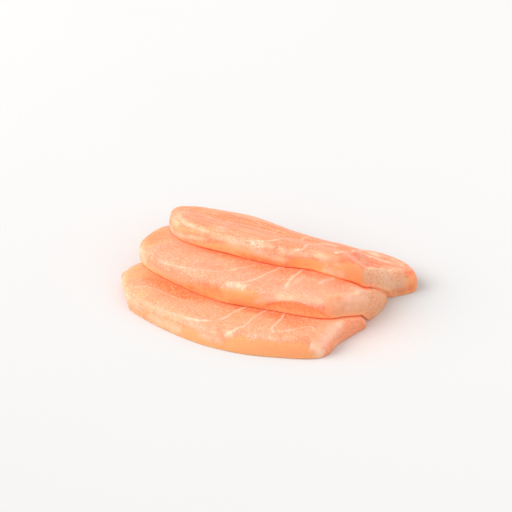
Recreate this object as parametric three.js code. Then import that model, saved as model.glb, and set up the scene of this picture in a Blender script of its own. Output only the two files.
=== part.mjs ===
// Salmon sashimi: three thick slices cut across a fillet, laid one over the next like shingles.
// The front slice lies flat. The middle one rests its front on it and bends down behind it,
// and the back slice does the same on the middle one.
// Millimetres. +X runs along the slices, +Y to the back, +Z up, and the origin is at the middle
// of the footprint, on the surface that the slices lie on.
import * as THREE from "three";

const { lerp, smoothstep } = THREE.MathUtils;

// The edge of every slice.
const TOP_ROUNDING = 3; // how far the rounding of the upper edge reaches in
const TOP_ROUNDING_SOFT = 5.2; // the same at the left end, where the knife left a softer edge
const SOFT_END = [5, -40]; // along x, from the tighter rounding to the softer one
const FOOT_ROUNDING = 1.3;
const TOP_EXPONENT = 2.2; // 2 is a quarter ellipse, more is a squarer edge
const FOOT_EXPONENT = 2.8;
const GAP = 0.3; // air left between two slices that touch

// How finely a slice is divided.
const STEPS_AROUND = 84;
const STEPS_TOP = 6;
const STEPS_WALL = 8;
const STEPS_UNDER = 4;

// Each slice has an outline seen from above, that starts at the left end and runs along the front.
// Its rings shrink to a spine on the line between its left and its right end, which stands in from
// both by spineInset. Its thickness is given at frontY and falls off to the back by thinning, in
// mm for each mm. Its lean is how far the upper rim stands in from the foot, or
// the foot from the rim where it is negative. Regions add to both: by is how much, x and y are
// the stretches over which it comes in, and aroundX and aroundY the middle and the half width
// of a hill.
const frontSlice = {
  name: "slice_front",
  colour: 0xf8b998,
  outline: [
    [-53.8, -10.5],
    [-51.2, -20],
    [-44.2, -28.2],
    [-34, -33],
    [-22, -36.5],
    [-7, -38.6],
    [9, -37.8],
    [21, -34.8],
    [30.5, -30.9],
    [34.8, -26.3],
    [35.4, -17],
    [37.8, -7.2],
    [38.4, -1.6],
    [28.5, 1.5],
    [16, 3],
    [4, 4],
    [-6, 4],
    [-21, 4],
    [-36, 3],
    [-50, -2],
  ],
  spineInset: { left: 20, right: 13 },
  thickness: 8.4,
  frontY: -39,
  thinning: 0.05,
  swells: [
    { by: -0.3, x: [-30, -52] }, // the left end
    { by: -2.4, x: [22, 34], y: [-12, 0] }, // the back right corner
  ],
  lean: 0.8,
  leans: [{ by: -3.4, x: [-38, -48], y: [-12, -20] }], // an undercut at the left end
};

// A slice that lies on another is carried by it as far back as bendY, and comes down to the
// ground over the stretch that fall gives. Both change over from the left end to the middle and
// from there to the right end.
const middleSlice = {
  name: "slice_middle",
  colour: 0xf6b592,
  outline: [
    [-54, 3.5],
    [-51.4, -5],
    [-46.4, -10.3],
    [-38, -14.5],
    [-26, -18.8],
    [-10, -22],
    [6, -22],
    [20, -19.5],
    [31.5, -14],
    [37, -5],
    [38.9, 4],
    [39.4, 11.5],
    [38, 18],
    [30, 20],
    [11, 20.5],
    [-6, 21.5],
    [-22, 23],
    [-38, 24.5],
    [-52, 22],
  ],
  spineInset: { left: 17, right: 14 },
  thickness: 8.3,
  frontY: -21,
  thinning: 0.03,
  swells: [
    { by: -0.3, x: [-30, -50] }, // the left end
    { by: 1.5, x: [-30, -50], y: [4, 18] }, // its back corner
    { by: 1.2, x: [26, 37] }, // the right end
    { by: 1.8, aroundX: [37, 9], aroundY: [4.5, 8] }, // where it bends down most
    { by: -6.5, x: [22, 34], y: [8, 24] }, // the back right corner runs out thin
  ],
  lean: 0.8,
  leans: [{ by: -3.2, aroundX: [10, 28], y: [-8, -14] }],
  carrier: frontSlice,
  leftEnd: [-26, -52],
  rightEnd: [23, 39],
  bendY: { left: 4, middle: 4, right: -4.5 },
  fall: { left: 24, middle: 20, right: 8 },
  lifts: [],
};

const backSlice = {
  name: "slice_back",
  colour: 0xf3a486,
  outline: [
    [-50.6, 16.5],
    [-45.8, 8],
    [-39, 2],
    [-29, -0.5],
    [-18, -0.5],
    [-7, -1.2],
    [4, -0.5],
    [14, 1],
    [23.5, 0.8],
    [31, 4.5],
    [36.8, 12.5],
    [39.6, 21.5],
    [42.5, 25.5],
    [44.6, 30.5],
    [39, 37],
    [28, 40],
    [14, 36.5],
    [-2, 37],
    [-18, 39.3],
    [-33, 39.8],
    [-44, 37.3],
    [-52.2, 31],
    [-53.6, 24.5],
  ],
  spineInset: { left: 13, right: 13 },
  thickness: 7.8,
  frontY: 3,
  thinning: 0.01,
  swells: [
    { by: -1.7, x: [-40, -53] }, // the left end
    { by: 1.2, x: [10, -20], y: [24, 36] }, // the back edge
    { by: 3.2, aroundX: [-22, 40], aroundY: [26, 15] }, // a low crown
    { by: 1.7, aroundX: [14, 24], aroundY: [31, 16] }, // the back edge near the right end
    { by: 1.2, x: [30, 38], y: [36, 26] }, // the right end
    { by: 2.4, aroundX: [40, 8], aroundY: [22.5, 7] }, // where it comes down behind its carrier
  ],
  lean: 0.6,
  leans: [{ by: -2, aroundX: [17, 18], y: [10, 6] }],
  carrier: middleSlice,
  leftEnd: [20, -30],
  rightEnd: [18, 36],
  bendY: { left: 18, middle: 18, right: 18 },
  fall: { left: 23, middle: 18, right: 4 },
  lifts: [{ by: 0.3, aroundX: [31, 11] }], // it spans the dip where the middle slice bends down
};

// How far a value has come from one number towards another, from 0 to 1 with soft ends.
function progress(value, [from, to]) {
  return from < to ? smoothstep(value, from, to) : smoothstep(-value, -from, -to);
}

// A smooth hill of height 1 in the middle, and 0 from the half width on.
function hill(value, [middle, halfWidth]) {
  return smoothstep(halfWidth - Math.abs(value - middle), 0, halfWidth);
}

// What the regions add at (x, y).
function added(regions, x, y) {
  let sum = 0;
  for (const region of regions) {
    const alongX = region.x ? progress(x, region.x) : 1;
    const alongY = region.y ? progress(y, region.y) : 1;
    const aroundX = region.aroundX ? hill(x, region.aroundX) : 1;
    const aroundY = region.aroundY ? hill(y, region.aroundY) : 1;
    sum += region.by * alongX * alongY * aroundX * aroundY;
  }
  return sum;
}

function thicknessAt(slice, x, y) {
  return slice.thickness - slice.thinning * (y - slice.frontY) + added(slice.swells, x, y);
}

// A value that changes over from the left end to the middle of a slice and to its right end.
function overEnds(slice, values, x) {
  const middle = lerp(values.middle, values.left, progress(x, slice.leftEnd));
  return lerp(middle, values.right, progress(x, slice.rightEnd));
}

// The height of a slice's underside: on its carrier as far as the bend, and down behind it.
function undersideAt(slice, x, y) {
  const { carrier } = slice;
  if (!carrier) return 0;
  const bendY = overEnds(slice, slice.bendY, x);
  const fall = overEnds(slice, slice.fall, x);
  const nearY = Math.min(y, bendY);
  const carried = undersideAt(carrier, x, nearY) + thicknessAt(carrier, x, nearY);
  const height = carried + added(slice.lifts, x, y) + GAP;
  return height * (1 - progress(y, [bendY, bendY + fall]));
}

// The edge's section from the upper rim to the foot: the height as a share of the thickness,
// and how far the point stands in from the outline as a share of the rounding's reach.
function edgeSection() {
  const section = [];
  for (let step = 0; step <= STEPS_WALL; step++) {
    const angle = Math.PI * (0.5 - step / STEPS_WALL);
    const upper = angle >= 0;
    const power = 2 / (upper ? TOP_EXPONENT : FOOT_EXPONENT);
    const out = Math.abs(Math.cos(angle)) ** power;
    const up = Math.sign(angle) * Math.abs(Math.sin(angle)) ** power;
    section.push({ upper, height: 0.5 + 0.5 * up, inset: 1 - out });
  }
  return section;
}

// How far a point of the edge section stands in from the outline at (x, y).
function edgeInset(slice, point, x, y) {
  const topReach = lerp(TOP_ROUNDING, TOP_ROUNDING_SOFT, progress(x, SOFT_END));
  const reach = point.upper ? topReach : FOOT_ROUNDING;
  const lean = slice.lean + added(slice.leans, x, y);
  const leaning = lean > 0 ? lean * point.height : -lean * (1 - point.height);
  return reach * point.inset + leaning;
}

// A ring of points round the slice. place(outlinePoint, spinePoint) gives each point's x and y.
function ring(slice, curve, height, place) {
  const left = curve.getPoint(0);
  const right = curve.getPoint(0.5);
  const direction = right.clone().sub(left).normalize();
  left.addScaledVector(direction, slice.spineInset.left);
  right.addScaledVector(direction, -slice.spineInset.right);
  const points = [];
  for (let step = 0; step < STEPS_AROUND; step++) {
    const share = step / STEPS_AROUND;
    const along = 0.5 - 0.5 * Math.cos(2 * Math.PI * share);
    const onSpine = left.clone().lerp(right, along);
    const { x, y } = place(curve.getPoint(share), onSpine);
    const z = undersideAt(slice, x, y) + height * thicknessAt(slice, x, y);
    points.push(new THREE.Vector3(x, y, z));
  }
  return points;
}

// All the rings of a slice, from the spine over the top, down the edge and back under to the spine.
function sliceRings(slice) {
  const corners = slice.outline.map(([x, y]) => new THREE.Vector3(x, y, 0));
  const curve = new THREE.CatmullRomCurve3(corners, true, "catmullrom", 0.5);
  const section = edgeSection();
  const onEdge = (point) => (outer, inner) => {
    const inwards = inner.clone().sub(outer).normalize();
    return outer.clone().addScaledVector(inwards, edgeInset(slice, point, outer.x, outer.y));
  };
  const towardsRim = (point, share) => (outer, inner) =>
    inner.clone().lerp(onEdge(point)(outer, inner), share);
  const rim = section[0];
  const foot = section[section.length - 1];
  const rings = [];
  for (let step = 0; step < STEPS_TOP; step++) {
    rings.push(ring(slice, curve, 1, towardsRim(rim, step / STEPS_TOP)));
  }
  for (const point of section) {
    rings.push(ring(slice, curve, point.height, onEdge(point)));
  }
  for (let step = STEPS_UNDER - 1; step >= 0; step--) {
    rings.push(ring(slice, curve, 0, towardsRim(foot, step / STEPS_UNDER)));
  }
  return rings;
}

// The closed skin over the rings. The first and the last ring lie folded along the spine,
// so the points on both sides of the fold meet and close the top and the underside. The quads'
// diagonals change sides in each quarter, because the other ones lie on the spine at its ends.
function sliceGeometry(slice) {
  const rings = sliceRings(slice);
  const positions = rings.flat().flatMap((point) => point.toArray());
  const triangles = [];
  for (let row = 0; row + 1 < rings.length; row++) {
    for (let step = 0; step < STEPS_AROUND; step++) {
      const next = (step + 1) % STEPS_AROUND;
      const a = row * STEPS_AROUND + step;
      const b = row * STEPS_AROUND + next;
      const c = a + STEPS_AROUND;
      const d = b + STEPS_AROUND;
      const quarter = Math.floor((4 * step) / STEPS_AROUND);
      if (quarter % 2 === 0) {
        triangles.push(a, c, d, a, d, b);
      } else {
        triangles.push(a, c, b, b, c, d);
      }
    }
  }
  const geometry = new THREE.BufferGeometry();
  geometry.setAttribute("position", new THREE.Float32BufferAttribute(positions, 3));
  geometry.setIndex(triangles);
  geometry.computeVertexNormals();
  return geometry;
}

// Raw salmon: moist, pale orange-pink flesh.
function fleshMaterial(colour) {
  return new THREE.MeshStandardMaterial({ color: colour, roughness: 0.35, metalness: 0 });
}

function sliceMesh(slice) {
  const mesh = new THREE.Mesh(sliceGeometry(slice), fleshMaterial(slice.colour));
  mesh.name = slice.name;
  return mesh;
}

const sashimi = new THREE.Group();
sashimi.add(...[frontSlice, middleSlice, backSlice].map(sliceMesh));

// The outlines are drawn round a point between the slices, so the group moves to bring
// the middle of the footprint to the origin.
const footprint = new THREE.Box3().setFromObject(sashimi, true);
const middle = footprint.getCenter(new THREE.Vector3());
sashimi.position.set(-middle.x, -middle.y, -footprint.min.z);

export default sashimi;
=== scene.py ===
from math import pi, radians

import bpy
import numpy as np
from mathutils import Euler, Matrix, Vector, noise


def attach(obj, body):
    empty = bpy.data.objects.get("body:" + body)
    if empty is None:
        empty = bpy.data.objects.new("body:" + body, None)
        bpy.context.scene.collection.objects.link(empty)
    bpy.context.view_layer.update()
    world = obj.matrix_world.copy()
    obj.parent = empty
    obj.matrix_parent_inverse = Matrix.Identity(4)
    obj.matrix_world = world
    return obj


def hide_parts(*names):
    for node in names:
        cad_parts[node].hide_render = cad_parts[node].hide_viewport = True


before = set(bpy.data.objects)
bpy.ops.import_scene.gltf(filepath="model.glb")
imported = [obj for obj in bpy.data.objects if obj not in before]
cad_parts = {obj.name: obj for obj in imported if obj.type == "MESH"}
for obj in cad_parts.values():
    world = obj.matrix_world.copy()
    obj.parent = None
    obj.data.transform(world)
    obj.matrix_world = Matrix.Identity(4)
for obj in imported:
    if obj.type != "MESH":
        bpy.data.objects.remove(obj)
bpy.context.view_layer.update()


# The view. A long lens stands at the front right of the slices and looks down on them
# at 28 degrees.
VIEW_AZIMUTH = radians(27)
VIEW_ELEVATION = radians(28)
VIEW_DISTANCE = 0.6085
VIEWED_POINT = Vector((-0.00659, 0.0103, 0.01))  # in the middle of the picture
FOCAL_LENGTH = 117.3  # mm

lens = bpy.data.cameras.new("camera")
lens.lens = FOCAL_LENGTH
camera = bpy.data.objects.new("camera", lens)
turn = Euler((pi / 2 - VIEW_ELEVATION, 0, VIEW_AZIMUTH))
camera.rotation_euler = turn
camera.location = VIEWED_POINT + turn.to_matrix() @ Vector((0, 0, VIEW_DISTANCE))
bpy.context.collection.objects.link(camera)
bpy.context.scene.camera = camera


# The studio. A matt pale grey table top under a bright white tent of light, and a soft box at
# the left that throws the shadow to the right. The light is so strong that the red burns out.
# Light that has come through the slices warms the table at their right.
LIGHT = 1.4  # what falls on the tops, where 1 shows white as white
TENT_LIGHT = 0.95
SOFT_BOX_WATTS = 20
SOFT_BOX_SIZE = 1.2
SOFT_BOX_PLACE = Vector((-0.85, -0.72, 0.95))
TABLE_HALF = 3.0
TABLE_CLOUDS = 9.0  # waves in a metre
WARM_SCALE = (22, 28, 0)  # the warm light reaches about 1 / 22 m along x and 1 / 28 m along y
WARM_SHIFT = (-0.5, 0.1, 0)
WARM_FADE = (1.1, 0.4)


def linear(channel):
    share = channel / 255
    return share / 12.92 if share <= 0.04045 else ((share + 0.055) / 1.055) ** 2.4


def shown(red, green, blue):
    """The colour that shows as this one, 0 to 255 and burnt out above, in the studio's light."""
    return (linear(red) / LIGHT, linear(green) / LIGHT, linear(blue) / LIGHT, 1)


class Shade:
    """An output of a material's node tree. Arithmetic on it adds Math nodes to the tree."""

    def __init__(self, tree, socket=None):
        self.tree = tree
        self.socket = socket

    def node(self, kind, settings=(), inputs=(), output=0):
        """Adds a node, with its settings first and then its sockets' values and links."""
        made = self.tree.nodes.new(kind)
        for name, value in dict(settings).items():
            setattr(made, name, value)
        for key, value in dict(inputs).items():
            if isinstance(value, Shade):
                self.tree.links.new(value.socket, made.inputs[key])
            else:
                made.inputs[key].default_value = value
        return Shade(self.tree, made.outputs[output] if made.outputs else None)

    def math(self, operation, *values):
        return self.node("ShaderNodeMath", {"operation": operation}, enumerate(values))

    def __add__(self, other):
        return self.math("ADD", self, other)

    __radd__ = __add__

    def __sub__(self, other):
        return self.math("SUBTRACT", self, other)

    def __rsub__(self, other):
        return self.math("SUBTRACT", other, self)

    def __mul__(self, other):
        return self.math("MULTIPLY", self, other)

    __rmul__ = __mul__

    def ramp(self, low, high):
        """0 below low and 1 above high, with a smooth step between."""
        settings = {"interpolation_type": "SMOOTHSTEP"}
        inputs = {"Value": self, "From Min": low, "From Max": high}
        return self.node("ShaderNodeMapRange", settings, inputs)

    def mix(self, colour, other_colour):
        """The first colour where self is 0 and the other one where it is 1."""
        settings = {"data_type": "RGBA", "blend_type": "MIX"}
        inputs = {0: self, 6: colour, 7: other_colour}
        return self.node("ShaderNodeMix", settings, inputs, output=2)

    def noise(self, place, scale, detail=2.0, roughness=0.5):
        inputs = {"Vector": place, "Scale": scale, "Detail": detail, "Roughness": roughness}
        return self.node("ShaderNodeTexNoise", {}, inputs)


def new_material(name):
    """A material with an empty node tree, and the tree as a Shade to build on."""
    material = bpy.data.materials.new(name)
    material.use_nodes = True
    material.node_tree.nodes.clear()
    return material, Shade(material.node_tree)


def finish_material(tree, shader):
    tree.node("ShaderNodeOutputMaterial", {}, {"Surface": shader})


def link_mesh(name, points, faces, material):
    mesh = bpy.data.meshes.new(name)
    mesh.from_pydata(points, [], faces)
    mesh.materials.append(material)
    made = bpy.data.objects.new(name, mesh)
    bpy.context.collection.objects.link(made)
    return made


table_material, tree = new_material("pale_table")
place = tree.node("ShaderNodeTexCoord", output="Object")
clouds = tree.noise(place, TABLE_CLOUDS)
pale = clouds.mix(shown(250, 249, 248), shown(252, 251, 250))
in_warm = tree.node(
    "ShaderNodeMapping", {}, {"Vector": place, "Scale": WARM_SCALE, "Location": WARM_SHIFT}
)
far_out = tree.node("ShaderNodeVectorMath", {"operation": "LENGTH"}, {0: in_warm}, output=1)
pale = far_out.ramp(*WARM_FADE).mix(pale, shown(262, 246, 240))
matt = tree.node("ShaderNodeBsdfDiffuse", {}, {"Color": pale, "Roughness": 1.0})
finish_material(tree, matt)

corners = [(-TABLE_HALF, -TABLE_HALF, 0), (TABLE_HALF, -TABLE_HALF, 0)]
corners += [(TABLE_HALF, TABLE_HALF, 0), (-TABLE_HALF, TABLE_HALF, 0)]
table = link_mesh("table_top", corners, [(0, 1, 2, 3)], table_material)

tent = bpy.data.worlds.new("tent")
tent.use_nodes = True
tent.node_tree.nodes["Background"].inputs["Color"].default_value = (1, 1, 1, 1)
tent.node_tree.nodes["Background"].inputs["Strength"].default_value = TENT_LIGHT
bpy.context.scene.world = tent

soft_box = bpy.data.lights.new("soft_box", "AREA")
soft_box.energy = SOFT_BOX_WATTS
soft_box.size = SOFT_BOX_SIZE
lamp = bpy.data.objects.new("soft_box", soft_box)
lamp.location = SOFT_BOX_PLACE
lamp.rotation_euler = SOFT_BOX_PLACE.to_track_quat("Z", "Y").to_euler()
bpy.context.collection.objects.link(lamp)

bpy.context.scene.view_settings.view_transform = "Standard"


# The front slice: raw salmon cut across the fillet, 8 mm thick, flat on the table. Thin curved
# sheets of fat part the muscle, and show as pale lines where the knife has cut through them.
# All sizes of the slices are in mm.
MM = 0.001
GAP = 0.3  # air between two slices that touch
DRAWN_FROM = np.array((4.6679, -0.6955, 0.0))  # the point that the outlines are drawn from
TOP_ROUNDING = 3.0
TOP_ROUNDING_SOFT = 5.2
SOFT_END = (5, -40)
FOOT_ROUNDING = 1.3
TOP_EXPONENT = 2.2
FOOT_EXPONENT = 2.8
STEPS_AROUND = 820
STEPS_TOP = 60
STEPS_WALL = 40
STEPS_UNDER = 8
FOOT_GLOW = 0.4  # how much light comes through at the foot of the wall
UNDERSIDE_GLOW = 0.6
SEED_SHIFT = np.array((7.3, 3.1, 5.7))  # between the waves of one seed and the next
WANDER = 0.25  # how far a stroke strays from its course
KNOTS_PER_POINT = 8
STROKE_REACH = 2.5  # half widths out to where a stroke has faded away
COARSE_WAVES = 10
COARSE_RELIEF = 0.12
FINE_WAVES = 2.6
FINE_RELIEF = 0.04
FAT_SINKS = 0.05
FRONT_BULGE = 0.7  # of the front wall, at its middle


def lerp(low, high, share):
    return low + (high - low) * share


def progress(value, stretch):
    """How far a value has come from one number to another, from 0 to 1 with soft ends."""
    start, end = stretch
    share = np.clip((value - start) / (end - start), 0, 1)
    return share * share * (3 - 2 * share)


def hill(value, place):
    middle, half_width = place
    return progress(half_width - np.abs(value - middle), (0, half_width))


def added(regions, x, y):
    """What the regions add: by is how much, x and y are the stretches over which it comes in,
    and around_x and around_y the middle and the half width of a hill."""
    shapes = {"x": (progress, x), "y": (progress, y), "around_x": (hill, x), "around_y": (hill, y)}
    total = 0 * x
    for region in regions:
        share = region["by"]
        for key, (shape, value) in shapes.items():
            if key in region:
                share = share * shape(value, region[key])
        total = total + share
    return total


def curve_through(points, shares, closed=False):
    """Points on the smooth curve through the given ones, each at its share of the way along."""
    points = np.array(points, float)
    if closed:
        count = len(points)
        known = np.vstack([points[-1:], points, points[:2]])
    else:
        count = len(points) - 1
        known = np.vstack([2 * points[0] - points[1], points, 2 * points[-1] - points[-2]])
    place = np.asarray(shares) * count
    index = np.minimum(place.astype(int), count - 1)
    step = (place - index)[:, None]
    before, start, end, after = (known[index + offset] for offset in range(4))
    leave = (end - before) / 2
    arrive = (after - start) / 2
    square = step * step
    cube = square * step
    from_start = (2 * cube - 3 * square + 1) * start + (cube - 2 * square + step) * leave
    return from_start + (3 * square - 2 * cube) * end + (cube - square) * arrive


class Slice:
    """A slice with the form of its solid, and the fine skin over it. Every skin point has its
    place in mm, its height as a share of the thickness, and how far round the section it lies:
    0 at the spine, 1 at the rim, 2 at the foot, and 3 at the spine again, under the slice."""

    def __init__(self, outline, spine_inset, thickness, front_y, thinning, swells, lean, leans,
                 carrier=None, left_end=None, right_end=None, bend_y=None, fall=None, lifts=()):
        self.thickness = thickness
        self.front_y = front_y
        self.thinning = thinning
        self.swells = swells
        self.carrier = carrier
        self.left_end = left_end
        self.right_end = right_end
        self.bend_y = bend_y
        self.fall = fall
        self.lifts = lifts

        share = np.arange(STEPS_AROUND) / STEPS_AROUND
        edge = curve_through(outline, share, closed=True)
        left, right = edge[0], edge[STEPS_AROUND // 2]
        along = (right - left) / np.linalg.norm(right - left)
        start = left + along * spine_inset[0]
        end = right - along * spine_inset[1]
        core = start + (end - start) * (0.5 - 0.5 * np.cos(2 * pi * share))[:, None]
        inwards = core - edge
        inwards /= np.linalg.norm(inwards, axis=1)[:, None]
        spine = start + (end - start) * (1 - np.abs(1 - 2 * share))[:, None]
        lean = lean + added(leans, edge[:, 0], edge[:, 1])
        top_rounding = lerp(TOP_ROUNDING, TOP_ROUNDING_SOFT, progress(edge[:, 0], SOFT_END))

        rings = []
        for angle in np.linspace(pi / 2, -pi / 2, STEPS_WALL + 1):
            upper = angle >= 0
            power = 2 / (TOP_EXPONENT if upper else FOOT_EXPONENT)
            out = abs(np.cos(angle)) ** power
            height = 0.5 + 0.5 * np.sign(angle) * abs(np.sin(angle)) ** power
            reach = top_rounding if upper else FOOT_ROUNDING
            leaning = np.where(lean > 0, lean * height, -lean * (1 - height))
            inset = reach * (1 - out) + leaning
            rings.append((edge + inwards * inset[:, None], height, 1.5 - angle / pi))
        rim = rings[0][0]
        foot = rings[-1][0]
        for step in range(STEPS_TOP - 1, -1, -1):
            share = step / STEPS_TOP
            rings.insert(0, (lerp(spine, rim, share), 1, share))
        for step in range(STEPS_UNDER - 1, -1, -1):
            share = step / STEPS_UNDER
            rings.append((lerp(spine, foot, share), 0, 3 - share))

        # the first and the last ring lie folded along the spine, where both sides share points
        grid = np.arange(len(rings) * STEPS_AROUND).reshape(len(rings), STEPS_AROUND)
        step = np.arange(STEPS_AROUND)
        fold = np.minimum(step, -step % STEPS_AROUND)
        grid[0] = grid[0][fold]
        grid[-1] = grid[-1][fold]
        beside = np.roll(grid, -1, axis=1)
        quads = np.stack([grid[:-1], grid[1:], beside[1:], beside[:-1]], axis=-1).reshape(-1, 4)
        used, numbered = np.unique(quads, return_inverse=True)
        self.quads = numbered.reshape(-1, 4)
        self.x, self.y = np.vstack([ring for ring, _, _ in rings])[used].T
        self.height = np.repeat([float(height) for _, height, _ in rings], STEPS_AROUND)[used]
        self.round = np.repeat([float(round_it) for _, _, round_it in rings], STEPS_AROUND)[used]
        self.points = self.point_at(self.x, self.y, self.height)
        foot = progress(self.height, (0.25, 0))
        underside = progress(self.round, (2, 2.15))
        self.glow = FOOT_GLOW * foot + UNDERSIDE_GLOW * underside
        self.wall = progress(self.round, (0.95, 1.1)) * progress(self.round, (2.2, 2.02))

    def thickness_at(self, x, y):
        return self.thickness - self.thinning * (y - self.front_y) + added(self.swells, x, y)

    def over_ends(self, values, x):
        """A value that changes over from the left end to the middle and to the right end."""
        left, middle, right = values
        value = lerp(middle, left, progress(x, self.left_end))
        return lerp(value, right, progress(x, self.right_end))

    def underside_at(self, x, y):
        """The height of the underside: on the carrier as far as the bend, and down behind it."""
        if self.carrier is None:
            return 0 * x
        bend_y = self.over_ends(self.bend_y, x)
        fall = self.over_ends(self.fall, x)
        near_y = np.minimum(y, bend_y)
        carried = self.carrier.underside_at(x, near_y) + self.carrier.thickness_at(x, near_y)
        height = carried + added(self.lifts, x, y) + GAP
        return height * (1 - progress(y, (bend_y, bend_y + fall)))

    def point_at(self, x, y, height):
        z = self.underside_at(x, y) + height * self.thickness_at(x, y)
        return np.column_stack([x, y, z])

    def waves(self, size, seed):
        """Smooth noise over the skin from about -1 to 1, with waves of that size."""
        shifted = self.points / size + seed * SEED_SHIFT
        return np.array([noise.noise(point) for point in shifted.tolist()])

    def relief(self, seed, fat):
        """The low unevenness of the cut flesh, with the lines of fat a little sunk."""
        coarse = COARSE_RELIEF * self.waves(COARSE_WAVES, seed)
        return coarse + FINE_RELIEF * self.waves(FINE_WAVES, seed + 1) - FAT_SINKS * fat

    def strokes(self, strokes, end_fade=0.12):
        """How strongly strokes show, 0 to 1. A stroke is the points (x, y, height) that it runs
        through, with height 1 left out, its half width and its strength. It fades out over the
        share end_fade at each end."""
        shift = np.column_stack([self.waves(4, 1), self.waves(4, 2), self.waves(4, 3)]) * WANDER
        uneven = 0.85 + 0.5 * self.waves(2.2, 4)
        points = self.points + shift
        shown_here = np.zeros(len(points))
        for course, half_width, strength in strokes:
            course = np.array([(*point, 1)[:3] for point in course], float)
            course = self.point_at(*course.T)
            knots = curve_through(course, np.linspace(0, 1, KNOTS_PER_POINT * len(course)))
            reach = STROKE_REACH * half_width
            near = np.all((points > knots.min(0) - reach) & (points < knots.max(0) + reach), axis=1)
            near = np.flatnonzero(near)
            nearest = np.full(len(near), np.inf)
            along = np.zeros(len(near))
            for number, (start, end) in enumerate(zip(knots[:-1], knots[1:])):
                run = end - start
                share = np.clip((points[near] - start) @ run / (run @ run), 0, 1)
                distance = np.linalg.norm(points[near] - start - share[:, None] * run, axis=1)
                closer = distance < nearest
                nearest[closer] = distance[closer]
                along[closer] = (number + share[closer]) / (len(knots) - 1)
            fade = progress(np.minimum(along, 1 - along), (-0.02, end_fade))
            stroke = strength * fade * uneven[near] * np.exp(-(nearest / half_width) ** 2)
            shown_here[near] = np.maximum(shown_here[near], stroke)
        return np.clip(shown_here, 0, 1)

    def below(self, boundary, blur=0.07):
        """1 on the part of the wall below a boundary that is given as (x, height share)."""
        across, heights = np.array(boundary, float).T
        level = np.interp(self.x, across, heights) + 0.05 * self.waves(5, 5)
        return self.wall * progress(level - self.height, (-blur, blur))


def build_slice(name, form, relief, material, **fields):
    """The slice as a mesh, its skin moved out by the relief in mm, with the fields on it."""
    points = (form.points + DRAWN_FROM) * MM
    made = link_mesh(name, points.tolist(), form.quads.tolist(), material)
    mesh = made.data
    mesh.shade_smooth()
    normals = np.zeros(len(points) * 3, np.float32)
    mesh.vertex_normals.foreach_get("vector", normals)
    moved = points + normals.reshape(-1, 3) * (relief * MM)[:, None]
    moved[:, 2] = np.maximum(moved[:, 2], 0)  # nothing goes below the table
    mesh.vertices.foreach_set("co", moved.astype(np.float32).ravel())
    mesh.update()
    for field, values in fields.items():
        kind = "FLOAT_VECTOR" if values.ndim == 2 else "FLOAT"
        layer = mesh.attributes.new(field, kind, "POINT")
        part = "vector" if values.ndim == 2 else "value"
        layer.data.foreach_set(part, values.astype(np.float32).ravel())
    return made


FLANK = shown(284, 198, 136)  # the walls
HOLLOW = shown(290, 202, 136)  # under a rim that stands out
DEEP_SHADE = shown(270, 134, 70)  # painted shade, a deeper orange where two slices meet
SPECK = shown(262, 154, 108)  # dark specks of the cut
PALE = shown(284, 227, 192)  # rims and light specks
FAT = shown(290, 244, 218)  # the lines
PAINTED_GLINT = shown(300, 270, 258)  # painted glints, white specks in the colour
GLOW = shown(176, 126, 84)  # light that comes through
CLOUDS_SCALE = 130  # waves in a metre
MOTTLE_SCALE = 420
STIPPLE_SCALE = 1400
GRAIN_SCALE = 2200
CLOUDS_SHARE = 0.4  # of the streaks' colour that lies in clouds
FLANK_SMOOTHNESS = 0.75  # how much of the specks the walls go without


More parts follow.
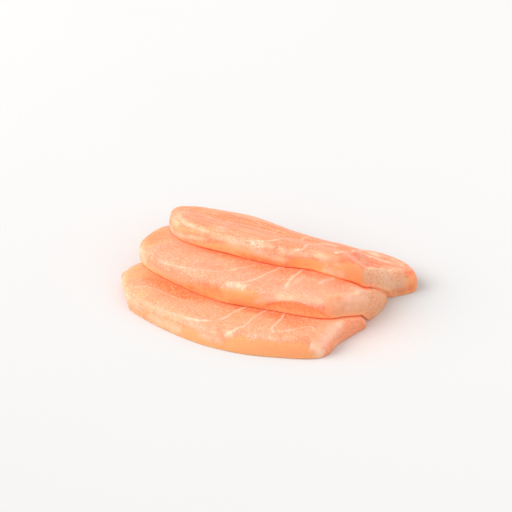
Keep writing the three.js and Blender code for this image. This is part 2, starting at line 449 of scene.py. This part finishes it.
def flesh_material(name, flesh, streak, cut_end, streak_share):
    """Moist raw salmon: flesh with streaks along the fibres, orange down the walls, with painted
    shade in deeper orange where two slices meet, greyish on the cut end, paler where there is
    fat, finely speckled where the knife has cut it, and with painted glints where it is wet. A
    little light comes through at the foot and where slices meet."""
    material, tree = new_material(name)
    place = tree.node("ShaderNodeTexCoord", output="Object")

    def field(attribute, output="Fac"):
        return tree.node("ShaderNodeAttribute", {"attribute_name": attribute}, output=output)

    clouds = tree.noise(place, CLOUDS_SCALE, detail=3)
    mottle = tree.noise(place, MOTTLE_SCALE, detail=2)
    stipple = tree.noise(place, STIPPLE_SCALE, detail=1)
    grain = tree.noise(place, GRAIN_SCALE, detail=1)
    streaks = tree.noise(field("fibre", "Vector"), 1.0, detail=3, roughness=0.55)
    uneven = 0.7 + 0.6 * mottle
    streaky = streaks.ramp(0.35, 0.65) * streak_share + clouds.ramp(0.3, 0.7) * CLOUDS_SHARE
    colour = streaky.ramp(0, 1).mix(flesh, streak)
    colour = field("flank").mix(colour, FLANK)
    colour = field("hollow").mix(colour, HOLLOW)
    colour = (field("cut_end") * (0.55 + 0.75 * mottle)).mix(colour, cut_end)
    # painted shade: a deeper orange where two slices meet, at the feet and in the hollows
    colour = field("deep").mix(colour, DEEP_SHADE)
    rough_cut = 1 - FLANK_SMOOTHNESS * field("flank")
    specks = [
        (stipple, (0.52, 0.7), 0.5, PALE),
        (stipple, (0.48, 0.3), 0.6, SPECK),
        (grain, (0.55, 0.75), 0.35, PALE),
    ]
    for pattern, stretch, share, tint in specks:
        colour = (pattern.ramp(*stretch) * rough_cut * share).mix(colour, tint)
    colour = (field("pale") * uneven).mix(colour, PALE)
    colour = (field("fat") * uneven).mix(colour, FAT)
    wet = field("wet")
    # painted glints: white specks in the colour where the flesh is wet
    colour = (grain.ramp(0.56, 0.64) * wet).mix(colour, PAINTED_GLINT)
    roughness = 0.42 + 0.14 * clouds - 0.12 * wet
    relief = {"Strength": 0.4, "Distance": 0.0002, "Height": grain * 0.4 + stipple * 0.6}
    bump = tree.node("ShaderNodeBump", {}, relief)
    glow = field("glow").mix((0, 0, 0, 1), GLOW)
    shader = tree.node("ShaderNodeBsdfPrincipled", {}, {
        "Base Color": colour,
        "Roughness": roughness,
        "Normal": bump,
        "IOR": 1.35,
        "Specular IOR Level": 0.28,
        "Subsurface Weight": 0.85,
        "Subsurface Radius": (1.0, 0.18, 0.09),
        "Subsurface Scale": 0.004,
        "Coat Weight": 0.05,
        "Coat Roughness": 0.2,
        "Emission Color": glow,
        "Emission Strength": 1.25,
    })
    finish_material(tree, shader)
    return material


front_form = Slice(
    outline=[
        (-53.8, -10.5), (-51.2, -20), (-44.2, -28.2), (-34, -33), (-22, -36.5), (-7, -38.6),
        (9, -37.8), (21, -34.8), (30.5, -30.9), (34.8, -26.3), (35.4, -17), (37.8, -7.2),
        (38.4, -1.6), (28.5, 1.5), (16, 3), (4, 4), (-6, 4), (-21, 4), (-36, 3), (-50, -2),
    ],
    spine_inset=(20, 13),
    thickness=8.4,
    front_y=-39,
    thinning=0.05,
    swells=[dict(by=-0.3, x=(-30, -52)), dict(by=-2.4, x=(22, 34), y=(-12, 0))],
    lean=0.8,
    leans=[dict(by=-3.4, x=(-38, -48), y=(-12, -20))],
)
front_fat = front_form.strokes([
    ([(-44, -25), (-41.1, -25.2), (-38.3, -23), (-33.9, -23.5), (-29.2, -24.5), (-24.6, -25.5),
      (-20.4, -25.8), (-17.4, -24)], 0.34, 0.35),
    ([(-36, -31, 0.82), (-30.7, -32.5, 0.8), (-26, -33.8, 0.83), (-21.3, -34.8, 0.84),
      (-17, -35.5, 0.87), (-12.8, -36, 0.89)], 0.4, 0.25),
    ([(-17, -35.5, 0.87), (-12.8, -36, 0.89), (-8.8, -36.1, 0.93), (-5.3, -35.4, 0.98),
      (-3.3, -33.4), (-2.2, -30.2), (-1.5, -26.4), (-0.7, -23.4), (1, -18), (4, -10), (9, -2)],
     0.3, 1.0),
    ([(30.2, -30.3, 0.68), (31.3, -29.6, 0.6), (32.6, -28.5, 0.42), (33.4, -27.8, 0.2)], 1.1, 0.85),
    ([(32.6, -28.3, 0.66), (33.6, -25.6, 0.8), (33.7, -21.3, 0.88), (33.6, -18, 0.9),
      (33.9, -15.4, 0.92), (34.8, -11, 0.96)], 1.0, 0.5),
    ([(1.4, -37.8, 0.65), (2, -37.5, 0.74), (4, -36.8, 0.86), (5.5, -35.4, 0.97), (6.5, -32.9),
      (6.6, -28.6), (6.7, -24.3), (7.5, -20), (10, -11), (15, -3)], 0.3, 0.9),
    ([(13.5, -14), (14.9, -20.6), (15.3, -23.7), (15.4, -27), (15.5, -29.5), (16.7, -31.3),
      (18.2, -32, 0.99)], 0.3, 0.95),
    ([(18, -30.6), (20.3, -29.3), (21.5, -27.8), (22.6, -26.3)], 0.3, 0.9),
    ([(24.1, -24.7), (25, -23.3), (26.7, -22.3), (29.8, -24.8)], 0.3, 0.5),
])
front_pale = front_form.strokes([
    ([(-38, -30.5, 0.72), (-30.3, -33.3, 0.71), (-21.1, -35.3, 0.76), (-12.6, -36.5, 0.82),
      (-4.3, -37.2, 0.8)], 1.1, 0.3),
    ([(-16.4, -36.6, 0.72), (-10, -37.4, 0.7), (-4, -37.9, 0.7), (0.6, -37.8, 0.67)], 0.9, 0.55),
    ([(-51, -17, 0.6), (-49.1, -21, 0.6), (-45.4, -25.7, 0.6), (-42.3, -28.5, 0.6),
      (-38, -30.9, 0.55), (-34, -32.4, 0.45)], 1.8, 0.7),
    ([(-32, -33.3, 0.35), (-27.5, -34.8, 0.3), (-22.8, -36, 0.33), (-18.3, -36.9, 0.34),
      (-13.9, -37.6, 0.33)], 1.7, 0.75),
    ([(-9, -37.9, 0.5), (-5, -38.2, 0.48), (-0.7, -38.2, 0.46), (1.9, -38.1, 0.44)], 1.5, 0.6),
    ([(1.4, -37.7, 0.66), (3.2, -37.3, 0.75), (4.6, -36.8, 0.82)], 1.0, 0.9),
    ([(9, -36, 0.84), (14, -35, 0.84), (19, -33.8, 0.84), (25, -31.5, 0.88)], 0.9, 0.4),
    ([(30, -30.4, 0.7), (31.3, -29.6, 0.65), (32.9, -28.2, 0.62), (33.6, -27.3, 0.5)], 2.0, 1.3),
    ([(31.6, -29.6, 0.42), (33.2, -28.3, 0.25), (34, -27.2, 0.15)], 1.8, 1.3),
    ([(33.1, -28.5, 0.5), (33.8, -26.5, 0.72), (34, -23.7, 0.82), (33.8, -19.3, 0.86),
      (34.1, -15.7, 0.9), (34.6, -12.4, 0.94)], 2.0, 1.0),
], end_fade=0.2)
front_flank = front_form.below([
    (-54, 0.1), (-45, 0.1), (-40.4, 0.21), (-35.1, 0.35), (-30, 0.52), (-16.1, 0.52), (-11.9, 0.58),
    (-7.8, 0.55), (-3.8, 0.32), (0.8, 0.36), (3.6, 0.66), (7.1, 0.78), (10.6, 0.77), (17.5, 0.72),
    (23.9, 0.75), (26.9, 0.81), (28.9, 0.74), (30.6, 0.53), (31.8, 0.33), (32.9, 0.1), (33.5, -0.2),
])
x, y = front_form.x, front_form.y
front_flank *= lerp(0.4, 1, progress(x, (-32, 0)))  # less orange towards the left
front_left = [(-50, -10), (-46, -15), (-43, -18)]
front_flank = np.maximum(front_flank, front_form.strokes([
    (front_left, 5, 0.8),
    ([(-38, -26), (-34, -29)], 2.5, 0.4),
]))
front_end = front_form.wall * progress(x, (33.8, 34.8)) * progress(front_form.height, (0.95, 0.8))
# painted shade: deeper orange on the top along the middle slice's front edge, and at the left end
front_deep = np.maximum(front_form.strokes([
    ([(-46, -12.5), (-40.4, -15.8), (-34.8, -18.4), (-29.7, -20.2), (-24.6, -21.9),
      (-16, -22.2), (-8, -21.8)], 4.4, 1.25),
    ([(-16.2, -22), (-8.3, -21.8), (1, -21), (10.6, -20.8), (21.6, -19.6), (27, -17)], 2.6, 0.8),
    (front_left, 4.5, 0.3),
    ([(10, -22.5), (17, -23), (24, -21.5), (29, -18)], 2.8, 0.6),
], end_fade=0.3), 0.06 * front_flank * progress(x, (0, 28)))
front_glow = front_form.glow + 0.3 * front_form.strokes([
    ([(28, -16), (32.2, -13.6), (35, -9.5), (37, -4.5), (37.8, -1)], 1.3, 1.0),
])
# where the flesh is wet: smoother, and with painted glints
front_wet = front_form.strokes([
    ([(2.7, -37.2, 0.79), (3.4, -36.9, 0.84)], 0.9, 1.0),
    ([(9.5, -36.6, 0.8), (11, -36.4, 0.8), (13.2, -35.6, 0.85)], 0.9, 0.8),
    ([(16.6, -34.6, 0.86), (17.8, -34.2, 0.88)], 0.8, 1.0),
    ([(15.6, -29.6), (15.9, -31.4), (17.7, -31.8)], 0.9, 0.7),
    ([(18, -30.6), (20.3, -29.3), (22, -27.3)], 0.8, 0.5),
    ([(28, -25), (30, -20), (31, -14)], 2.0, 0.25),
])
front_relief = (
    front_form.relief(6, front_fat)
    + FRONT_BULGE * front_form.wall * hill(x, (-2, 26)) * progress(y, (-15, -22))
)

front_material = flesh_material(
    "front_slice_flesh",
    flesh=shown(290, 186, 144),
    streak=shown(286, 168, 118),
    cut_end=shown(284, 184, 138),
    streak_share=0.2,
)
front_slice = build_slice(
    "front_slice", front_form, front_relief, front_material,
    fat=front_fat, pale=front_pale, flank=front_flank, cut_end=front_end, deep=front_deep,
    wet=front_wet, glow=front_glow, hollow=0 * x,
    fibre=np.column_stack([(y + 0.25 * x) / 1.2, x / 9, front_form.points[:, 2] / 3]),
)
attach(front_slice, "root")
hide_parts("slice_front")


# The middle slice: the same flesh, with its front on the front slice and its back bent down to
# the table behind it. The right half of its front wall is hollow under a pale rim of fat.
MIDDLE_HOLLOW_DEPTH = 0.7
ABOVE_FOOT = (0, 0.3)  # the shares of the height over which a hollow comes in

middle_form = Slice(
    outline=[
        (-54, 3.5), (-51.4, -5), (-46.4, -10.3), (-38, -14.5), (-26, -18.8), (-10, -22), (6, -22),
        (20, -19.5), (31.5, -14), (37, -5), (38.9, 4), (39.4, 11.5), (38, 18), (30, 20),
        (11, 20.5), (-6, 21.5), (-22, 23), (-38, 24.5), (-52, 22),
    ],
    spine_inset=(17, 14),
    thickness=8.3,
    front_y=-21,
    thinning=0.03,
    swells=[
        dict(by=-0.3, x=(-30, -50)),
        dict(by=1.5, x=(-30, -50), y=(4, 18)),
        dict(by=1.2, x=(26, 37)),
        dict(by=1.8, around_x=(37, 9), around_y=(4.5, 8)),
        dict(by=-6.5, x=(22, 34), y=(8, 24)),
    ],
    lean=0.8,
    leans=[dict(by=-3.2, around_x=(10, 28), y=(-8, -14))],
    carrier=front_form,
    left_end=(-26, -52),
    right_end=(23, 39),
    bend_y=(4, 4, -4.5),
    fall=(24, 20, 8),
)
middle_fat = middle_form.strokes([
    ([(-40, -12.6, 0.73), (-35.8, -14.1, 0.76), (-31.3, -15.5, 0.8), (-25.4, -16.6, 0.89),
      (-19.3, -16.6, 0.97), (-13.3, -14.4), (-8.7, -9.6), (-5.6, -4.7), (-3.4, -1.3)], 0.32, 0.5),
    ([(-5, -20.5, 0.97), (-2.7, -18.7), (-0.8, -17.1), (0.4, -14.9), (1.4, -12.3), (2.1, -9),
      (2.7, -5.6), (3.5, -3.2), (4.6, 1), (7, 8)], 0.3, 0.95),
    ([(13.5, -15.5), (12.2, -10.6), (11.7, -8), (11.5, -4.2), (11.6, -1.2), (11.4, 3)], 0.5, 0.8),
    ([(13.8, -16.3), (13.8, -11.5), (14.2, -6.7), (15, -1.8)], 0.9, 0.25),
    ([(21.5, -5.9), (22.3, -2.5), (23.3, 0.2), (24.7, 2)], 0.7, 0.45),
    ([(33.9, -8.8, 0.86), (34.7, -5.6, 0.92), (35.2, -2.4, 0.96), (35.4, 2.1, 0.99),
      (36.2, 6.3)], 0.6, 0.5),
])
middle_pale = middle_form.strokes([
    ([(-49.6, -4, 0.7), (-48.6, -7.4, 0.55), (-46.5, -10, 0.4), (-43.5, -11.8, 0.35)], 1.7, 0.8),
    ([(-46.2, -10.1, 0.3), (-39.6, -13.5, 0.25), (-34.2, -15.8, 0.25), (-27.5, -18.1, 0.35),
      (-21.8, -19.5, 0.45)], 1.6, 0.35),
    ([(-7.5, -20.8, 0.92), (-4.2, -20.9, 0.92), (-1, -20.4, 0.96), (1.5, -20.4, 0.95)], 1.3, 0.9),
    ([(-9.2, -10.8), (-8.4, -9.6)], 1.0, 0.7),
    ([(3, -20.8, 0.5), (5.5, -20.6, 0.5), (8.5, -20.5, 0.62), (12, -20.3, 0.76),
      (17.3, -19.2, 0.84), (22.3, -17.8, 0.84), (27.1, -16, 0.82), (31, -13.6, 0.78)], 1.5, 0.85),
    ([(10.7, -19.8, 0.95), (16.4, -18.3, 0.96), (21.7, -17, 0.95), (28.4, -14.9, 0.9)], 1.6, 0.35),
    ([(10, -17), (18, -15), (26, -12), (32, -8)], 3.5, 0.2),
    ([(31.5, -12, 0.8), (33.5, -10, 0.75), (35.4, -6.5, 0.76), (36.8, -2.8, 0.76),
      (37.4, 2.9, 0.85)], 1.9, 0.8),
    ([(28, -15.5, 0.6), (31.5, -13, 0.58), (33.5, -10.5, 0.55)], 1.8, 0.45),
    ([(33.5, -11, 0.45), (35.4, -8, 0.4), (36.9, -4, 0.4)], 1.8, 0.6),
    ([(34.8, -5, 0.9), (35.2, -2.4, 0.94), (35.6, 2.1, 0.97), (36.6, 6, 0.97)], 1.2, 0.7),
    ([(37.2, 2.4, 0.88), (37.6, 0.2, 0.68), (37.6, -2.1, 0.35)], 0.8, 0.4),
], end_fade=0.2)
middle_hollow = middle_form.below([
    (4.4, -0.2), (6, 0), (8, 0.2), (10.1, 0.36), (12.7, 0.52), (15.6, 0.66), (18.3, 0.7),
    (21.1, 0.67), (23.7, 0.57), (26.4, 0.46), (28.6, 0.28), (30.3, 0.11), (31.2, -0.2),
], blur=0.03)
middle_flank = middle_form.below([
    (-54, 0.15), (-36.8, 0.31), (-31.5, 0.27), (-26.6, 0.3), (-21.8, 0.36), (-17.3, 0.45),
    (-12.9, 0.58), (-6.6, 0.75), (-2.9, 0.82), (0.9, 0.87), (3.5, 0.88), (5.8, 0.82),
    (8.4, 0.6), (9.2, -0.2), (28, -0.2), (29, 0.7), (33, 0.72), (37, 0.7), (37.6, -0.2),
])
x, y = middle_form.x, middle_form.y
middle_flank *= lerp(1, 0.85, progress(x, (20, 30)))
middle_left = [(-49, 12), (-50, 3), (-47, -3), (-44, -6)]
middle_flank = np.maximum(middle_flank, middle_form.strokes([(middle_left, 5, 0.9)]))
middle_end = middle_form.wall * lerp(0.9, 1, progress(y, (-2, 1.5))) * progress(x, (27, 32))
# painted shade: deeper orange along the back slice's front edge, at the feet and the left end
middle_deep = middle_form.strokes([
    ([(-34.8, 1), (-26, 0), (-19, -0.4), (-12, -1), (-5, -1.8)], 2.6, 0.95),
    ([(-14, -2), (-8, -3.2), (-2, -3.4), (3, -2.8), (8.4, -1.6), (14, -0.4)], 3.6, 0.85),
    ([(6, -1.2), (10, -0.4), (14, 0.6), (18, 1)], 2.6, 0.7),
    ([(14, -0.6), (20, 0.6), (26, 1.6), (33, 3.8)], 1.6, 0.7),
    ([(-42, -13.5, 0), (-38, -16, 0.05), (-30, -18.5, 0.1), (-18, -21.5, 0.15), (-6, -22.6, 0.1)],
     2.6, 0.9),
    ([(-20, -20, 0.45), (-13, -21.4, 0.5), (-6, -22, 0.5)], 2.4, 0.7),
    ([(-6, -22.4, 0), (2, -22, 0)], 1.8, 0.8),
    (middle_left, 5, 0.7),
    ([(36, 10, 0.1), (38.5, 2, 0.15), (38.9, 6, 0.1)], 1.2, 0.6),
], end_fade=0.3)
# and painted shade in the hollow under the rim, deeper towards the right
middle_deep = np.maximum(middle_deep, middle_hollow * lerp(0.15, 0.4, progress(x, (10, 30))))
middle_glow = middle_form.glow + 0.5 * middle_form.strokes([
    ([(20, 1.6), (27, 2.6), (31, 4.2), (34.2, 8), (36, 11.5)], 1.3, 1.0),
])
# where the flesh is wet: smoother, and with painted glints
middle_wet = middle_form.strokes([
    ([(-6.7, -21, 0.9), (-2.8, -20.2, 0.97), (1, -20.8, 0.93)], 1.3, 0.7),
    ([(6, -20.4, 0.93), (8.4, -20.2, 0.93)], 1.0, 0.8),
    ([(13, -19.2, 0.95), (15, -18.8, 0.95)], 0.8, 0.6),
    ([(33.9, -8.8, 0.86), (34.7, -5.6, 0.92)], 1.0, 0.5),
    ([(-25, -11), (-22, -9)], 1.6, 0.35),
])
middle_relief = (
    middle_form.relief(8, middle_fat)
    - MIDDLE_HOLLOW_DEPTH * middle_hollow * progress(middle_form.height, ABOVE_FOOT)
)

middle_material = flesh_material(
    "middle_slice_flesh",
    flesh=shown(290, 182, 146),
    streak=shown(286, 162, 120),
    cut_end=shown(264, 194, 146),
    streak_share=0.2,
)
middle_slice = build_slice(
    "middle_slice", middle_form, middle_relief, middle_material,
    fat=middle_fat, pale=middle_pale, flank=middle_flank, cut_end=middle_end, deep=middle_deep,
    wet=middle_wet, glow=middle_glow, hollow=middle_hollow,
    fibre=np.column_stack([(y + 0.25 * x) / 1.2, x / 9, middle_form.points[:, 2] / 3]),
)
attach(middle_slice, "root")
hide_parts("slice_middle")


# The back slice: cut from nearer the belly, a little redder, with streaks that run lengthwise
# and a greyish right end. It lies on the middle slice as that one does on the front slice.
BACK_HOLLOW_DEPTH = 0.25
BACK_RISE_LEFT = 0.9  # of the top edge at the back
BACK_RISE_RIGHT = 0.5

back_form = Slice(
    outline=[
        (-50.6, 16.5), (-45.8, 8), (-39, 2), (-29, -0.5), (-18, -0.5), (-7, -1.2), (4, -0.5),
        (14, 1), (23.5, 0.8), (31, 4.5), (36.8, 12.5), (39.6, 21.5), (42.5, 25.5), (44.6, 30.5),
        (39, 37), (28, 40), (14, 36.5), (-2, 37), (-18, 39.3), (-33, 39.8), (-44, 37.3),
        (-52.2, 31), (-53.6, 24.5),
    ],
    spine_inset=(13, 13),
    thickness=7.8,
    front_y=3,
    thinning=0.01,
    swells=[
        dict(by=-1.7, x=(-40, -53)),
        dict(by=1.2, x=(10, -20), y=(24, 36)),
        dict(by=3.2, around_x=(-22, 40), around_y=(26, 15)),
        dict(by=1.7, around_x=(14, 24), around_y=(31, 16)),
        dict(by=1.2, x=(30, 38), y=(36, 26)),
        dict(by=2.4, around_x=(40, 8), around_y=(22.5, 7)),
    ],
    lean=0.6,
    leans=[dict(by=-2, around_x=(17, 18), y=(10, 6))],
    carrier=middle_form,
    left_end=(20, -30),
    right_end=(18, 36),
    bend_y=(18, 18, 18),
    fall=(23, 18, 4),
    lifts=[dict(by=0.3, around_x=(31, 11))],
)
back_fat = back_form.strokes([
    ([(-6.4, 1.4, 0.97), (-4.1, 1.6, 0.97), (-0.4, 4.6), (1.8, 12.2), (3.7, 19.1), (6, 24.7)],
     0.34, 0.9),
    ([(8.5, 0.9, 0.83), (10, 1.9, 0.93), (11.5, 2.9, 0.98), (11.2, 5.8), (10, 13.5), (10.9, 18.3),
      (14.3, 19.7), (18, 20.2)], 0.4, 0.75),
    ([(21.7, 4.9, 0.99), (23.4, 6.5, 0.99), (23.2, 13), (23.4, 21.4), (21.9, 31.6), (24.7, 32.5),
      (28, 32.3), (31.3, 32), (34.5, 31.8)], 0.5, 0.65),
    ([(22.3, 19.5), (19.9, 34.4), (22.8, 35.1), (26.1, 34.7), (29.5, 34.4)], 0.5, 0.45),
    ([(-41, 15.4), (-35.2, 16.4), (-29, 16.5), (-20.9, 16.9), (-12, 17.4), (-2.9, 17.8)],
     0.45, 0.5),
    ([(-39.8, 9.4), (-34.3, 10.9), (-27.9, 10.6), (-19.1, 9.5), (-10.5, 8.7), (-3.2, 14.3)],
     0.4, 0.35),
    ([(-40.2, 21.5), (-33.2, 24.4), (-22, 23), (-11.7, 23.2), (1, 22.3)], 0.4, 0.35),
    ([(25, 4.5), (27.3, 9.8), (28, 19.2), (29.2, 27.7), (34.4, 28.4), (38.7, 29.3)], 0.4, 0.35),
])
back_pale = back_form.strokes([
    ([(-44.6, 12, 0.94), (-40, 6.2, 0.92), (-35.9, 3.3, 0.89), (-32.4, 2.2, 0.88),
      (-28.1, 1.1, 0.84), (-23.9, 0.9, 0.83)], 0.9, 0.75),
    ([(-49, 14, 0.6), (-46.5, 9.5, 0.4), (-44, 6.8, 0.2), (-37.6, 1.7, 0.3), (-32.7, 0.3, 0.38),
      (-28.2, -0.2, 0.49), (-22.1, -0.1, 0.57)], 1.2, 0.8),
    ([(-44.5, 9, 0.8), (-41.4, 4.9, 0.76), (-37.9, 2.2, 0.7)], 1.2, 0.6),
    ([(-27.9, 3, 0.97), (-23.9, 3.2, 0.98), (-19.6, 2.8, 0.97), (-13, 1.8, 0.96), (-6.5, 0.9, 0.93),
      (-3.3, 0.1, 0.82)], 1.2, 0.25),
    ([(-27.5, 0.1, 0.7), (-21.1, 0.2, 0.7), (-16.1, 0, 0.66), (-9.7, -0.6, 0.62),
      (-3.7, -0.7, 0.6), (0.9, -0.4, 0.63)], 1.6, 0.65),
    ([(0.9, -0.4, 0.66), (4.6, 0.1, 0.75), (8.3, 0.6, 0.75), (12.5, 1.5, 0.78), (16.9, 2, 0.88),
      (22.6, 1.5, 0.84), (27.6, 3.2, 0.86)], 1.7, 0.65),
    ([(-8, -0.6, 0.5), (-2.9, -0.7, 0.5), (3.3, -0.4, 0.4), (9, 0.7, 0.38)], 1.6, 0.75),
    ([(16.5, 35.4), (20, 35.9, 0.98), (24, 36, 0.98), (28, 35.2)], 1.5, 0.6),
    ([(19, 1.5, 0.3), (20.7, 1.6, 0.24), (23.1, 1.4, 0.24), (25.6, 1.8, 0.24), (28.5, 3, 0.25)],
     1.6, 1.0),
    ([(24, 36, 0.98), (30, 36, 0.98), (35.5, 34, 0.98), (39.5, 30.5, 0.98)], 1.2, 0.5),
    ([(-9, 0.9, 0.9), (-4.5, 0.2, 0.85), (2, 0.6, 0.85)], 1.4, 0.5),
    ([(7.9, 1.3, 0.9), (10.1, 1.6, 0.9), (11.8, 2.2, 0.92)], 1.0, 0.3),
    ([(22, 5.6), (23.6, 6.6)], 1.0, 1.0),
    ([(15, 1.6, 0.85), (19, 1.4, 0.8), (24, 1.8, 0.8)], 0.8, 0.3),
    ([(22, 31.6), (28, 32.1), (34, 32.4)], 1.0, 0.5),
], end_fade=0.2)
back_hollow = back_form.below([
    (4.5, -0.2), (7.7, 0.45), (11.2, 0.6), (14.8, 0.6), (18.8, 0.6), (21, 0.4), (22.5, -0.2),
], blur=0.06)
back_flank = back_form.below([
    (-54, -0.2), (-42, -0.2), (-36, 0.1), (-30.5, 0.2), (-24.1, 0.35), (-18, 0.52), (-11.8, 0.54),
    (-5.6, 0.46), (0.2, 0.42), (4.1, 0.45), (11.2, 0.6), (18.8, 0.66), (25, 0.75), (31, 0.95),
    (33.8, 0.7), (34.6, -0.2), (39, -0.2), (41, 0.6), (44.6, 1.0),
])
x, y = back_form.x, back_form.y
back_flank *= 1 - 0.45 * hill(x, (22.5, 5))  # paler where the rim turns to the right end
low_band = 0.7 * back_form.wall * progress(back_form.height, (0.75, 0.1))
back_flank = lerp(back_flank, low_band, progress(y, (27, 33)))  # a low band on the wall behind
orange_band = back_form.strokes([
    ([(-44.5, 7, 0.5), (-37.7, 1.9, 0.56), (-33.8, 0.9, 0.64), (-30.2, 0.5, 0.7),
      (-26.4, 0.3, 0.73)], 0.7, 0.9),
])
orange_back = back_form.strokes([
    ([(-49, 19), (-47, 23), (-42, 25), (-34, 26.5), (-25, 27), (-12, 27), (0, 26)], 4, 0.6),
])
back_flank = np.maximum(back_flank, np.maximum(orange_band, orange_back))
beside_tip = progress(y, (5, 8)) * progress(y, (27, 24))
back_end = progress(x, (32.2, 33.6)) * beside_tip * progress(back_form.round, (0.5, 0.9))
back_end *= progress(back_form.round, (2.3, 2.1))
# painted shade: deeper orange at the feet, where the back slice meets the middle one, and at its
# back left
back_deep = back_form.strokes([
    ([(-16, -0.6, 0.1), (-5.7, -0.6, 0.12), (4, -0.4, 0.12), (12, 1, 0.1)], 1.7, 0.8),
    ([(-50, 16), (-48, 21), (-42, 24), (-30, 26), (-18, 27)], 4, 0.4),
    ([(36.5, 19, 0.05), (38.8, 20.4, 0.1), (40.6, 23.5, 0.15), (42.7, 26, 0.2), (43.6, 27.5, 0.3),
      (44.4, 30.5, 0.4)], 1.8, 0.75),
], end_fade=0.3)
# where the flesh is wet: smoother, and with painted glints
back_wet = back_form.strokes([
    ([(-23.2, 3.5, 0.98), (-21.6, 4.2), (-19.6, 3.5, 0.99)], 1.2, 1.0),
    ([(-9.4, 1.1, 0.94), (-7.3, 0.1, 0.85), (-4.9, 0, 0.82), (-2.3, 0.5, 0.88)], 1.4, 0.9),
    ([(-18, 0.5, 0.8), (-13, 0.4, 0.8)], 0.9, 0.5),
    ([(0, 1, 0.9), (6, 0.8, 0.8)], 1.4, 0.4),
    ([(8.5, 1.4, 0.9), (11.6, 2, 0.92)], 0.9, 0.7),
    ([(22.4, 5.8), (23.4, 6.6)], 0.8, 0.7),
    ([(20, 1.4, 0.5), (25.6, 1.7, 0.5), (27.3, 2.3, 0.4)], 1.4, 0.35),
    ([(36, 14, 0.8), (38.4, 19, 0.7)], 3.0, 0.3),
])
back_rise = BACK_RISE_LEFT * hill(x, (-29, 26)) + BACK_RISE_RIGHT * hill(x, (11, 9))
back_relief = (
    back_form.relief(10, back_fat)
    - BACK_HOLLOW_DEPTH * back_hollow * progress(back_form.height, ABOVE_FOOT)
    + progress(y, (28, 34)) * progress(back_form.height, (0.5, 0.9)) * back_rise
)

back_material = flesh_material(
    "back_slice_flesh",
    flesh=shown(288, 181, 135),
    streak=shown(284, 150, 102),
    cut_end=shown(264, 214, 172),
    streak_share=0.9,
)
back_slice = build_slice(
    "back_slice", back_form, back_relief, back_material,
    fat=back_fat, pale=back_pale, flank=back_flank, cut_end=back_end, deep=back_deep,
    wet=back_wet, glow=back_form.glow, hollow=back_hollow,
    fibre=np.column_stack([y / 1.1, x / 16, back_form.points[:, 2] / 2]),
)
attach(back_slice, "root")
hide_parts("slice_back")
